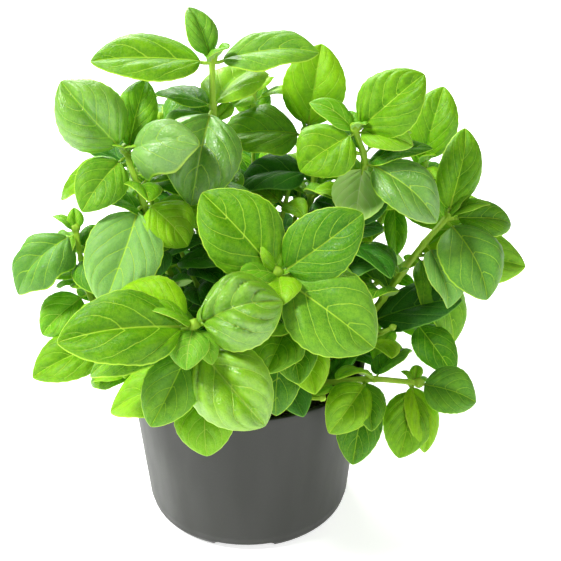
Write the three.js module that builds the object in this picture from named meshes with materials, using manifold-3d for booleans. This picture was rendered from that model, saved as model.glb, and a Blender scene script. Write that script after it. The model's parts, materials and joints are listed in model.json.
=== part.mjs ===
// A young sweet basil in a plain round nursery pot. Millimetres, +Z up.
// The pot stands on its foot ring at z = 0. The front of the plant faces -Y.
// Leaves, stems, soil and pot are separate solids.
import * as THREE from "three";
import { mergeVertices } from "three/addons/utils/BufferGeometryUtils.js";
import Module from "manifold-3d";

const wasm = await Module();
wasm.setup();

// ---- driving dimensions ----

const GAP = 0.35; // clearance between solids that touch in the real plant

const POT_RIM_RADIUS = 65;
const POT_BASE_RADIUS = 56.5;
const POT_HEIGHT = 90;
const POT_WALL = 1.4;
const RIM_LIP_WIDTH = 2.6;
const RIM_LIP_DEPTH = 4;
const BASE_EDGE_RADIUS = 6;
const FOOT_RING_WIDTH = 3.5;
const FLOOR_UNDERSIDE = 4.5;
const FLOOR_THICKNESS = 1.5;
const POT_SEGMENTS = 40;
const FOOT_NOTCH_WIDTH = 33;
const FOOT_NOTCH_REACH = 40; // along the radius
const FOOT_NOTCH_TURN = -3.5; // degrees
const DRAIN_HOLE_RADIUS = 4;
const DRAIN_HOLE_CIRCLE = 36;
const DRAIN_HOLES = 8;

const SOIL_TOP = 80;
const SOIL_CROWN = 3;
const STEM_FOOT = 62; // height of the lower end of every stem, inside the soil

const STEM_HALF_WIDTH = 1.9;
const STEM_STEPS = 10;
const BUD_RADIUS = 2.9;

const LEAF_THICKNESS = 0.9;
const PETIOLE_HALF_WIDTH = 1.1;
const LEAF_STATIONS = 8; // steps along the blade

// ---- materials ----

const potPlastic = new THREE.MeshStandardMaterial({ color: "#53554f", roughness: 0.55, metalness: 0 });
const pottingSoil = new THREE.MeshStandardMaterial({ color: "#2c211a", roughness: 0.95, metalness: 0 });
const stemGreen = new THREE.MeshStandardMaterial({ color: "#8fbf45", roughness: 0.6, metalness: 0 });
const leafGreens = {
  bright: new THREE.MeshStandardMaterial({ color: "#7fb932", roughness: 0.45, metalness: 0 }),
  fresh: new THREE.MeshStandardMaterial({ color: "#9bd04b", roughness: 0.5, metalness: 0 }),
  deep: new THREE.MeshStandardMaterial({ color: "#3d7d22", roughness: 0.45, metalness: 0 }),
};

// ---- solids: joining and cutting ----

function toSolid(geometry, matrix = new THREE.Matrix4()) {
  const bare = geometry.clone().applyMatrix4(matrix);
  bare.deleteAttribute("normal");
  bare.deleteAttribute("uv");
  const merged = mergeVertices(bare, 1e-4);
  return new wasm.Manifold(new wasm.Mesh({
    numProp: 3,
    vertProperties: new Float32Array(merged.attributes.position.array),
    triVerts: new Uint32Array(merged.index.array),
  }));
}

function toGeometry(solid) {
  const mesh = solid.getMesh();
  const geometry = new THREE.BufferGeometry();
  geometry.setAttribute("position", new THREE.BufferAttribute(mesh.vertProperties, 3));
  geometry.setIndex(new THREE.BufferAttribute(mesh.triVerts, 1));
  geometry.computeVertexNormals();
  return geometry;
}

function moved(x, y, z, turnX = 0, turnZ = 0) {
  const turn = new THREE.Quaternion().setFromEuler(new THREE.Euler(turnX, 0, turnZ, "ZYX"));
  return new THREE.Matrix4().compose(new THREE.Vector3(x, y, z), turn, new THREE.Vector3(1, 1, 1));
}

const plant = new THREE.Group();

function addPart(name, geometry, material) {
  const mesh = new THREE.Mesh(geometry, material);
  mesh.name = name;
  plant.add(mesh);
  return mesh;
}

// ---- pot ----

// The outer wall is a straight cone above the rounded bottom edge.
function potOuterRadius(z) {
  return THREE.MathUtils.lerp(POT_BASE_RADIUS, POT_RIM_RADIUS, z / POT_HEIGHT);
}

function potInnerRadius(z) {
  return potOuterRadius(z) - POT_WALL;
}

function makePot() {
  const floorTop = FLOOR_UNDERSIDE + FLOOR_THICKNESS;
  const footOuter = potOuterRadius(0) - BASE_EDGE_RADIUS;
  const footInner = footOuter - FOOT_RING_WIDTH;
  const lipInner = POT_RIM_RADIUS - RIM_LIP_WIDTH;
  const lipBottom = POT_HEIGHT - RIM_LIP_DEPTH;
  const profile = [new THREE.Vector2(0, floorTop), new THREE.Vector2(0, FLOOR_UNDERSIDE)];
  profile.push(new THREE.Vector2(footInner, FLOOR_UNDERSIDE));
  profile.push(new THREE.Vector2(footInner, 0));
  const edgeSteps = 4;
  for (let step = 0; step <= edgeSteps; step += 1) {
    const angle = (step / edgeSteps) * (Math.PI / 2);
    const radius = footOuter + BASE_EDGE_RADIUS * Math.sin(angle);
    profile.push(new THREE.Vector2(radius, BASE_EDGE_RADIUS * (1 - Math.cos(angle))));
  }
  profile.push(new THREE.Vector2(POT_RIM_RADIUS, POT_HEIGHT));
  profile.push(new THREE.Vector2(lipInner, POT_HEIGHT));
  profile.push(new THREE.Vector2(lipInner, lipBottom));
  profile.push(new THREE.Vector2(potInnerRadius(lipBottom), lipBottom - RIM_LIP_WIDTH));
  profile.push(new THREE.Vector2(potInnerRadius(floorTop), floorTop));
  profile.push(new THREE.Vector2(0, floorTop));
  // A lathe turns about Y, so the turned shape is stood up along Z.
  let pot = toSolid(new THREE.LatheGeometry(profile, POT_SEGMENTS), moved(0, 0, 0, Math.PI / 2));

  for (let quarter = 0; quarter < 4; quarter += 1) {
    const angle = THREE.MathUtils.degToRad(90 * quarter + FOOT_NOTCH_TURN);
    const notch = new THREE.BoxGeometry(FOOT_NOTCH_REACH, FOOT_NOTCH_WIDTH, 2 * FLOOR_UNDERSIDE);
    const x = footOuter * Math.cos(angle);
    const y = footOuter * Math.sin(angle);
    pot = pot.subtract(toSolid(notch, moved(x, y, 0, 0, angle)));
  }
  for (let hole = 0; hole < DRAIN_HOLES; hole += 1) {
    const angle = ((hole + 0.5) / DRAIN_HOLES) * 2 * Math.PI;
    const cutLength = 4 * FLOOR_THICKNESS;
    const drain = new THREE.CylinderGeometry(DRAIN_HOLE_RADIUS, DRAIN_HOLE_RADIUS, cutLength, 12);
    const x = DRAIN_HOLE_CIRCLE * Math.cos(angle);
    const y = DRAIN_HOLE_CIRCLE * Math.sin(angle);
    pot = pot.subtract(toSolid(drain, moved(x, y, floorTop, Math.PI / 2)));
  }
  return toGeometry(pot);
}

// ---- stems ----

// Each stem: where it leaves the soil, then its leaf nodes, from the lowest to the tip.
const stems = {
  tall: { soil: [-10, 12], nodes: [[-15, 6, 228], [-15, 10, 251]] },
  upper_left: { soil: [-24, -2], nodes: [[-49, -25, 190], [-57, -15, 213]] },
  left: { soil: [-36, 6], nodes: [[-70, -4, 106], [-84, 3, 128], [-90, 15, 159]] },
  front_left: { soil: [-12, -34], nodes: [[-20, -64, 116], [-25, -78, 143], [-24, -85, 155]] },
  centre: { soil: [6, -24], nodes: [[20, -55, 139], [15, -62, 169]] },
  upper_right: { soil: [20, 4], nodes: [[60, -8, 204], [55, -10, 221]] },
  right: { soil: [40, -2], nodes: [[66, 0, 112], [94, 0, 156], [106, 5, 168]] },
  low_right: { soil: [24, -24], nodes: [[61, -42, 99], [85, -46, 99]] },
  inner: { soil: [8, 26], nodes: [[38, 28, 185], [34, 38, 204]] },
  back_right: { soil: [34, 24], nodes: [[84, 48, 160], [98, 45, 182]] },
  back_left: { soil: [-26, 34], nodes: [[-55, 58, 140], [-62, 62, 175]] },
  back: { soil: [4, 46], nodes: [[6, 78, 130], [8, 88, 165]] },
};

function stemCurve(stem) {
  const [x, y] = stem.soil;
  const points = [
    new THREE.Vector3(x, y, STEM_FOOT),
    new THREE.Vector3(x, y, (STEM_FOOT + SOIL_TOP) / 2),
    new THREE.Vector3(x, y, SOIL_TOP),
  ];
  for (const node of stem.nodes) {
    points.push(new THREE.Vector3(...node));
  }
  return new THREE.CatmullRomCurve3(points, false, "centripetal");
}

// Basil stems are square with rounded corners.
function stemSection(side) {
  const corner = side * 0.45;
  const section = new THREE.Shape();
  section.moveTo(side, corner);
  section.lineTo(corner, side);
  section.lineTo(-corner, side);
  section.lineTo(-side, corner);
  section.lineTo(-side, -corner);
  section.lineTo(-corner, -side);
  section.lineTo(corner, -side);
  section.lineTo(side, -corner);
  section.closePath();
  return section;
}

function stemTube(stem, halfWidth) {
  return new THREE.ExtrudeGeometry(stemSection(halfWidth), {
    steps: STEM_STEPS,
    extrudePath: stemCurve(stem),
    bevelEnabled: false,
  });
}

function makeStem(stem) {
  const [x, y, z] = stem.nodes.at(-1);
  const bud = new THREE.SphereGeometry(BUD_RADIUS, 8, 6);
  const tube = toSolid(stemTube(stem, STEM_HALF_WIDTH));
  return toGeometry(tube.add(toSolid(bud, moved(x, y, z, Math.PI / 2))));
}

// ---- soil ----

function makeSoil() {
  const bottom = FLOOR_UNDERSIDE + FLOOR_THICKNESS + GAP;
  const edgeTop = SOIL_TOP;
  const profile = [
    new THREE.Vector2(0, bottom),
    new THREE.Vector2(potInnerRadius(bottom) - 2 * GAP, bottom),
    new THREE.Vector2(potInnerRadius(edgeTop) - 2 * GAP, edgeTop),
    new THREE.Vector2(potInnerRadius(edgeTop) * 0.6, edgeTop + SOIL_CROWN * 0.7),
    new THREE.Vector2(0, edgeTop + SOIL_CROWN),
  ];
  let soil = toSolid(new THREE.LatheGeometry(profile, 24), moved(0, 0, 0, Math.PI / 2));
  // The soil is open around each stem, and just below its lower end.
  const holeHalfWidth = STEM_HALF_WIDTH + 2 * GAP;
  for (const stem of Object.values(stems)) {
    const [x, y] = stem.soil;
    const socket = new THREE.CylinderGeometry(holeHalfWidth, holeHalfWidth, 2 * GAP, 8);
    soil = soil.subtract(toSolid(stemTube(stem, holeHalfWidth)));
    soil = soil.subtract(toSolid(socket, moved(x, y, STEM_FOOT, Math.PI / 2)));
  }
  return toGeometry(soil);
}

// ---- leaves ----

// Half-width of the blade at a share of its length: round at the base, pointed at the tip.
function bladeHalfWidth(share, width) {
  const baseRoundness = 0.6;
  const tipSharpness = 0.85;
  const widestAt = baseRoundness / (baseRoundness + tipSharpness);
  const shape = (s) => s ** baseRoundness * (1 - s) ** tipSharpness;
  return ((width / 2) * shape(share)) / shape(widestAt);
}

// A leaf along +X with its face to +Z. The petiole starts at the origin and the tip ends at `length`.
// `petiole` is its share of the length. `arch` lifts the midrib's middle by that share of the length.
// `fold` raises the margins, in degrees.
function makeLeaf({ length, width, petiole = 0.12, arch = 0.08, fold = 8 }) {
  const steps = LEAF_STATIONS + 1;
  const geometry = new THREE.BoxGeometry(steps, 2, 1, steps, 2, 1);
  const position = geometry.attributes.position;
  const foldAngle = THREE.MathUtils.degToRad(fold);
  for (let i = 0; i < position.count; i += 1) {
    const station = Math.round(position.getX(i) + steps / 2);
    const across = Math.round(position.getY(i));
    const face = Math.sign(position.getZ(i));
    const share = station === 0 ? 0 : (1 - Math.cos((Math.PI * (station - 1)) / LEAF_STATIONS)) / 2;
    const along = station === 0 ? 0 : petiole + (1 - petiole) * share;
    const taper = station === steps ? 0.4 : 1;
    const half = Math.max(bladeHalfWidth(share, width), PETIOLE_HALF_WIDTH * taper);
    const lift = arch * length * 4 * along * (1 - along);
    const thickness = station < 2 ? 2 * PETIOLE_HALF_WIDTH * 0.8 : LEAF_THICKNESS;
    position.setXYZ(
      i,
      along * length,
      across * half * Math.cos(foldAngle),
      lift + Math.abs(across) * half * Math.sin(foldAngle) + (face * thickness) / 2,
    );
  }
  return toGeometry(toSolid(geometry));
}

// The leaves of each stem: the node they grow from, the compass heading and rise of the tip and the
// turn about the leaf's own length, all in degrees, then the length and the width.
// Heading 0 is +X and 90 is +Y.
const leaves = {
  tall: [
    { name: "left", node: 1, heading: -169, rise: 5, turn: -14, length: 56, width: 34 },
    { name: "right", node: 1, heading: -3, rise: 8, turn: 6, length: 50, width: 30 },
    { name: "crown", node: 1, heading: 140, rise: 62, turn: -20, length: 26, width: 18 },
    { name: "hanging", node: 0, heading: -108, rise: -50, turn: -20, length: 49, width: 40, arch: 0.14 },
  ],
  upper_left: [
    { name: "outer", node: 1, heading: 180, rise: 52, turn: -70, length: 43, width: 34, petiole: 0.16 },
    { name: "up", node: 1, heading: 66, rise: 53, turn: 45, length: 36, width: 21, petiole: 0.08 },
    { name: "low", node: 1, heading: -128, rise: -30, turn: -30, length: 34, width: 25, petiole: 0.2 },
    { name: "inner", node: 1, heading: -28, rise: 17, turn: 32, length: 38, width: 32, arch: 0.12 },
    { name: "hanging", node: 0, heading: -122, rise: -50, turn: -25, length: 51, width: 38, arch: 0.12 },
    { name: "under", node: 0, heading: -34, rise: -34, turn: 25, length: 28, width: 26, tone: "fresh" },
  ],
  left: [
    { name: "outer", node: 2, heading: -145, rise: -32, turn: -10, length: 42, width: 36, arch: 0.14 },
    { name: "low", node: 1, heading: -155, rise: -35, turn: -40, length: 30, width: 24, tone: "fresh" },
    { name: "lowest", node: 0, heading: -156, rise: -12, turn: -35, length: 47, width: 28 },
  ],
  front_left: [
    { name: "long", node: 2, heading: -163, rise: 4, turn: -38, length: 58, width: 36 },
    { name: "back", node: 2, heading: 152, rise: 16, turn: -45, length: 38, width: 28 },
    { name: "gloss", node: 2, heading: -2, rise: 20, turn: 42, length: 39, width: 38, arch: 0.14, fold: -8 },
    { name: "drop", node: 1, heading: -34, rise: -40, turn: 42, length: 49, width: 38 },
    { name: "low", node: 1, heading: -126, rise: -42, turn: -30, length: 40, width: 26, petiole: 0.25 },
    { name: "side", node: 1, heading: -175, rise: -14, turn: -25, length: 48, width: 26, petiole: 0.28 },
    { name: "lowest", node: 0, heading: -92, rise: -55, turn: 4, length: 36, width: 30, tone: "fresh" },
  ],
  centre: [
    { name: "left", node: 1, heading: 162, rise: 46, turn: -52, length: 49, width: 38, petiole: 0.06 },
    { name: "right", node: 1, heading: 2, rise: 38, turn: 58, length: 46, width: 32, petiole: 0.1 },
    { name: "front", node: 1, heading: -28, rise: -28, turn: 42, length: 53, width: 42, petiole: 0.18 },
    { name: "under", node: 0, heading: -112, rise: -16, turn: -10, length: 28, width: 26 },
  ],
  upper_right: [
    { name: "out", node: 1, heading: 2, rise: 42, turn: 55, length: 40, width: 34, petiole: 0.06 },
    { name: "front", node: 1, heading: -156, rise: -24, turn: -35, length: 31, width: 33, petiole: 0.06 },
    { name: "drop", node: 0, heading: -28, rise: -32, turn: 32, length: 44, width: 28, arch: 0.12 },
    { name: "under", node: 0, heading: -108, rise: -58, turn: -10, length: 29, width: 28, arch: -0.08 },
  ],
  inner: [
    { name: "up", node: 1, heading: 60, rise: 70, turn: 20, length: 46, width: 34 },
    { name: "low", node: 0, heading: 178, rise: -6, turn: -20, length: 40, width: 34, tone: "deep" },
    { name: "left", node: 1, heading: -172, rise: 2, turn: -30, length: 44, width: 34, arch: 0.12 },
  ],
  right: [
    { name: "up", node: 2, heading: 50, rise: 68, turn: 45, length: 46, width: 24 },
    { name: "out", node: 2, heading: -54, rise: -44, turn: 20, length: 45, width: 36, arch: 0.12 },
    { name: "back", node: 2, heading: 12, rise: -8, turn: 35, length: 36, width: 24, petiole: 0.2 },
    { name: "folded", node: 1, heading: -60, rise: -52, turn: -10, length: 34, width: 26, fold: 32 },
    { name: "low", node: 0, heading: -6, rise: 20, turn: 30, length: 50, width: 30, tone: "deep" },
  ],
  low_right: [
    { name: "out", node: 1, heading: -20, rise: -8, turn: 35, length: 30, width: 26, petiole: 0.18 },
    { name: "drop", node: 1, heading: -112, rise: -52, turn: -15, length: 36, width: 26 },
    { name: "curl", node: 0, heading: -130, rise: -24, turn: -30, length: 32, width: 24, arch: 0.16 },
    { name: "hang", node: 0, heading: -112, rise: -58, turn: -10, length: 41, width: 24 },
  ],
  back_right: [
    { name: "up", node: 1, heading: 45, rise: 68, turn: 30, length: 43, width: 28 },
    { name: "out", node: 0, heading: -24, rise: 0, turn: 20, length: 56, width: 32, tone: "fresh" },
  ],
  back_left: [
    { name: "out", node: 1, heading: 150, rise: 18, turn: 10, length: 46, width: 34, tone: "deep" },
    { name: "rear", node: 0, heading: 110, rise: -10, turn: -10, length: 44, width: 34, tone: "deep" },
  ],
  back: [
    { name: "rear", node: 1, heading: 75, rise: 15, turn: -10, length: 46, width: 36, tone: "deep" },
    { name: "low", node: 0, heading: 40, rise: -15, turn: 15, length: 42, width: 32, tone: "deep" },
  ],
};

// Euler order "ZYX": first the turn about the leaf's length, then the rise, then the heading.
function leafRotation({ heading, rise, turn }) {
  const radians = [turn, -rise, heading].map(THREE.MathUtils.degToRad);
  return new THREE.Euler(...radians, "ZYX");
}

// The petiole starts just off the bud at a stem's tip, or off the stem's side at a lower node.
function leafFoot(stem, leaf, rotation) {
  const node = new THREE.Vector3(...stem.nodes[leaf.node]);
  const direction = new THREE.Vector3(1, 0, 0).applyEuler(rotation);
  if (leaf.node === stem.nodes.length - 1) {
    return node.addScaledVector(direction, BUD_RADIUS + GAP);
  }
  const share = (leaf.node + 3) / (stem.nodes.length + 2);
  const along = stemCurve(stem).getTangent(share);
  const sideways = direction.addScaledVector(along, -direction.dot(along)).normalize();
  return node.addScaledVector(sideways, STEM_HALF_WIDTH + PETIOLE_HALF_WIDTH + GAP);
}

// ---- the whole object ----

addPart("pot", makePot(), potPlastic);
addPart("soil", makeSoil(), pottingSoil);
for (const [stemName, stem] of Object.entries(stems)) {
  addPart(`stem_${stemName}`, makeStem(stem), stemGreen);
  for (const leaf of leaves[stemName]) {
    const tone = leafGreens[leaf.tone ?? "bright"];
    const mesh = addPart(`leaf_${stemName}_${leaf.name}`, makeLeaf(leaf), tone);
    mesh.rotation.copy(leafRotation(leaf));
    mesh.position.copy(leafFoot(stem, leaf, mesh.rotation));
  }
}

// The origin is the middle of the whole plant's footprint, on the surface that the pot stands on.
const extent = new THREE.Box3().setFromObject(plant, true);
const middle = extent.getCenter(new THREE.Vector3());
const object = new THREE.Group();
object.add(plant);
plant.position.set(-middle.x, -middle.y, 0);

export default object;
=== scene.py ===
"""A potted sweet basil plant, finished over its CAD frame. Metres, +Z up, the front faces -Y."""

import json
import math
import random

import bmesh
import bpy
import numpy as np
from mathutils import Matrix, Vector, noise


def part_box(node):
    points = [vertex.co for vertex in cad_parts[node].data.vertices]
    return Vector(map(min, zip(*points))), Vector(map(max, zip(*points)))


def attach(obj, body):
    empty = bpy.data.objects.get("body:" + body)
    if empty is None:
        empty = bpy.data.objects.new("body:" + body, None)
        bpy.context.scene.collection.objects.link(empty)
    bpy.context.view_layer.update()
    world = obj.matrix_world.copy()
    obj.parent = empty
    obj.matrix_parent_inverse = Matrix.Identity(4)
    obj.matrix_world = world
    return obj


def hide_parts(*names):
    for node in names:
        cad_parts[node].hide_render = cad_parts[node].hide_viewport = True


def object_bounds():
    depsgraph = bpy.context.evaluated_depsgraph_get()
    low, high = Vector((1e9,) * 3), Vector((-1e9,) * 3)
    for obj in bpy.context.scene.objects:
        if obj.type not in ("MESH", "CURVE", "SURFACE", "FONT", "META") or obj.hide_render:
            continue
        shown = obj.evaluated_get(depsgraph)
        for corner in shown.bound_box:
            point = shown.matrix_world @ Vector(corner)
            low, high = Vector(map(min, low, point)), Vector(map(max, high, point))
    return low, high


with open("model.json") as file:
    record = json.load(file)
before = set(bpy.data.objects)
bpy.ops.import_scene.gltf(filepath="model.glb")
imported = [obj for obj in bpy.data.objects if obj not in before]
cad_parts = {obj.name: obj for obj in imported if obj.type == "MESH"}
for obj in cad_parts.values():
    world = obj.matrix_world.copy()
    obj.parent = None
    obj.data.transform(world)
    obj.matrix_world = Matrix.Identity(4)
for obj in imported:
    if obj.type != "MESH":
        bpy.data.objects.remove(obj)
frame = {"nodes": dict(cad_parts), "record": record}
cad_box = [list(corner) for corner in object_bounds()]

MM = 0.001
seeded = random.Random(7)


# ---- reading the CAD nodes ----

LEAF_ROW = 6  # points in each row across a CAD leaf
STEM_RINGS = 10  # rings of points along a CAD stem, before its bud
STEM_SIDES = 8  # points in each ring

def node_points(node):
    """The node's corner points in millimetres, each once."""
    vertices = frame["nodes"][node].data.vertices
    points = np.array([v.co for v in vertices]) / MM
    return np.unique(points.round(3), axis=0)


def unit(vector):
    return vector / np.linalg.norm(vector)


def read_leaf(node, stem_path):
    """The place and shape of a CAD leaf, from its rows of points between the stem and the tip."""
    points = node_points(node)
    to_stem = np.linalg.norm(points[:, None] - stem_path[None], axis=2).min(axis=1)
    near = points[np.argmin(to_stem)]
    far = points[np.argmax(np.linalg.norm(points - near, axis=1))]
    rows = points[np.argsort((points - near) @ (far - near))].reshape(-1, LEAF_ROW, 3)
    start, tip = rows[0].mean(0), rows[-1].mean(0)
    along = unit(tip - start)
    length = np.linalg.norm(tip - start)
    widest = max(rows, key=spread)
    side = widest[np.argmax(np.linalg.norm(widest - widest.mean(0), axis=1))] - widest.mean(0)
    side = unit(side - along * (side @ along))
    up = np.cross(along, side)
    if up[2] < 0:
        side, up = -side, -up
    if (widest.mean(0) - start) @ up < 0:
        side, up = -side, -up
    axes = np.stack([along, side, up], axis=1)
    section = (widest - start) @ axes
    half = np.abs(section[:, 1]).max()
    centre = section[np.abs(section[:, 1]) < half / 2].mean(0)
    margin_height = section[np.abs(section[:, 1]) > half / 2, 2].mean()
    share = centre[0] / length
    fold = math.atan2(margin_height - centre[2], half)
    return {
        "start": start,
        "axes": axes,
        "length": length,
        "petiole": (rows[1].mean(0) - start) @ along / length,
        "width": 2 * half / math.cos(fold),
        "arch": centre[2] / (length * 4 * share * (1 - share)),
        "fold": fold,
    }


def spread(row):
    return np.linalg.norm(row - row.mean(0), axis=1).max()


def blade_profile(share):
    """Half-width of a blade from base to tip, 1 at the widest: round at the base, blunt at the tip."""
    base_roundness, tip_sharpness = 0.55, 0.72
    widest = base_roundness / (base_roundness + tip_sharpness)
    peak = widest ** base_roundness * (1 - widest) ** tip_sharpness
    return share ** base_roundness * (1 - share) ** tip_sharpness / peak


def read_stem(node):
    """A CAD stem's centre line: the middles of its rings, then of the bud at the tip."""
    points = node_points(node)
    low = points[np.argmin(points[:, 2])]
    far = points[np.argmax(np.linalg.norm(points - low, axis=1))]
    ordered = points[np.argsort((points - low) @ (far - low))]
    ring_points = STEM_RINGS * STEM_SIDES
    rings = ordered[:ring_points].reshape(STEM_RINGS, STEM_SIDES, 3).mean(1)
    bud = ordered[ring_points:]
    tip = (bud.min(0) + bud.max(0)) / 2
    return np.vstack([rings, tip])


def smooth_path(points, steps):
    """A Catmull-Rom curve through the points."""
    padded = np.vstack([2 * points[0] - points[1], points, 2 * points[-1] - points[-2]])
    curve = []
    spans = len(points) - 1
    for step in range(steps + 1):
        position = min(step / steps * spans, spans - 1e-9)
        span = int(position)
        t = position - span
        a, b, c, d = padded[span:span + 4]
        curve.append(0.5 * (2 * b + (c - a) * t + (2 * a - 5 * b + 4 * c - d) * t ** 2
                            + (3 * b - 3 * c + d - a) * t ** 3))
    return np.array(curve)


def even_path(points, steps):
    """The same smooth curve, with its points evenly spaced along it."""
    fine = smooth_path(np.asarray(points, dtype=float), 40 * len(points))
    travelled = np.concatenate([[0], np.cumsum(np.linalg.norm(np.diff(fine, axis=0), axis=1))])
    wanted = np.linspace(0, travelled[-1], steps + 1)
    return np.stack([np.interp(wanted, travelled, fine[:, axis]) for axis in range(3)], axis=1)


# ---- meshes ----

def add_mesh(name, vertices_mm, faces, materials, material_indices=None):
    mesh = bpy.data.meshes.new(name)
    mesh.from_pydata((np.asarray(vertices_mm) * MM).tolist(), [], faces)
    for material in materials:
        mesh.materials.append(material)
    if material_indices is not None:
        mesh.polygons.foreach_set("material_index", material_indices)
    mesh.polygons.foreach_set("use_smooth", [True] * len(mesh.polygons))
    mesh.update()
    piece = bpy.data.objects.new(name, mesh)
    bpy.context.collection.objects.link(piece)
    return piece


def add_attribute(piece, name, values):
    attribute = piece.data.attributes.new(name, "FLOAT", "POINT")
    attribute.data.foreach_set("value", np.asarray(values, dtype=np.float32))


def ring_faces(rings, around, first=0):
    """Quads between successive rings of vertices, and a cap at each end."""
    faces = []
    for ring in range(rings - 1):
        for k in range(around):
            a = first + ring * around + k
            b = first + ring * around + (k + 1) % around
            faces.append((a, b, b + around, a + around))
    faces.append(tuple(first + k for k in reversed(range(around))))
    faces.append(tuple(first + (rings - 1) * around + k for k in range(around)))
    return faces


def sweep(path, section):
    """Rings of a tube along the path. section(share) gives the outline there, as (x, y) pairs."""
    tangents = np.gradient(path, axis=0)
    tangents /= np.linalg.norm(tangents, axis=1)[:, None]
    side = unit(np.cross(tangents[0], [0.31, 0.95, 0.05]))
    rings = []
    for index, (point, tangent) in enumerate(zip(path, tangents)):
        side = unit(side - tangent * (side @ tangent))
        other = np.cross(tangent, side)
        outline = section(index / (len(path) - 1))
        rings.append(point + outline[:, :1] * side + outline[:, 1:] * other)
    return np.array(rings)


# ---- materials ----

def new_material(name):
    material = bpy.data.materials.new(name)
    material.use_nodes = True
    tree = material.node_tree
    shader = tree.nodes["Principled BSDF"]
    return material, tree, shader


def add_node(tree, kind, inputs=None, **settings):
    node = tree.nodes.new(kind)
    for key, value in settings.items():
        setattr(node, key, value)
    for key, value in (inputs or {}).items():
        if isinstance(value, bpy.types.NodeSocket):
            tree.links.new(value, node.inputs[key])
        else:
            node.inputs[key].default_value = value
    return node


def maths(tree, operation, a, b=0.0):
    return add_node(tree, "ShaderNodeMath", {0: a, 1: b}, operation=operation).outputs[0]


def attribute(tree, name):
    return add_node(tree, "ShaderNodeAttribute", attribute_name=name).outputs["Fac"]


def remap(tree, value, low, high, to_low=0.0, to_high=1.0):
    inputs = {"Value": value, "From Min": low, "From Max": high, "To Min": to_low, "To Max": to_high}
    node = add_node(tree, "ShaderNodeMapRange", inputs, interpolation_type="SMOOTHSTEP")
    return node.outputs["Result"]


def mix(tree, factor, a, b):
    node = add_node(tree, "ShaderNodeMix", data_type="RGBA")
    for socket, value in ((node.inputs[0], factor), (node.inputs[6], a), (node.inputs[7], b)):
        if isinstance(value, bpy.types.NodeSocket):
            tree.links.new(value, socket)
        else:
            socket.default_value = value
    return node.outputs[2]


def speckle(tree, scale, detail=3.0):
    """Noise fixed to the object, from 0 to 1."""
    place = add_node(tree, "ShaderNodeTexCoord").outputs["Object"]
    inputs = {"Vector": place, "Scale": scale, "Detail": detail}
    return add_node(tree, "ShaderNodeTexNoise", inputs).outputs["Fac"]


def streaks(tree, squeeze, scale, detail):
    """The same noise, stretched upwards: squeeze is how much slower it changes with height."""
    place = add_node(tree, "ShaderNodeTexCoord").outputs["Object"]
    mapping = add_node(tree, "ShaderNodeMapping", {"Vector": place, "Scale": (1.0, 1.0, squeeze)})
    inputs = {"Vector": mapping.outputs[0], "Scale": scale, "Detail": detail}
    return add_node(tree, "ShaderNodeTexNoise", inputs).outputs["Fac"]


def bump(tree, height, distance, strength=1.0, normal=None):
    inputs = {"Height": height, "Distance": distance, "Strength": strength}
    if normal is not None:
        inputs["Normal"] = normal
    return add_node(tree, "ShaderNodeBump", inputs).outputs["Normal"]


def vein_masks(tree):
    """How much of the side veins, the midrib and the pillows between veins a point is in, from 0 to 1. The
    pillows' share is used only for painted shade.
    """
    wander = maths(tree, "MULTIPLY", maths(tree, "SUBTRACT", speckle(tree, 110, 2), 0.5), 0.3)
    phase = maths(tree, "FRACT", maths(tree, "ADD", attribute(tree, "vein_phase"), wander))
    off_vein = maths(tree, "SUBTRACT", 0.5, maths(tree, "ABSOLUTE", maths(tree, "SUBTRACT", phase, 0.5)))
    side = remap(tree, off_vein, 0.05, 0.01)
    side = maths(tree, "MULTIPLY", side, attribute(tree, "vein_strength"))
    rib = remap(tree, attribute(tree, "rib"), 0.75, 0.25)
    return side, rib, remap(tree, off_vein, 0.05, 0.35)


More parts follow.
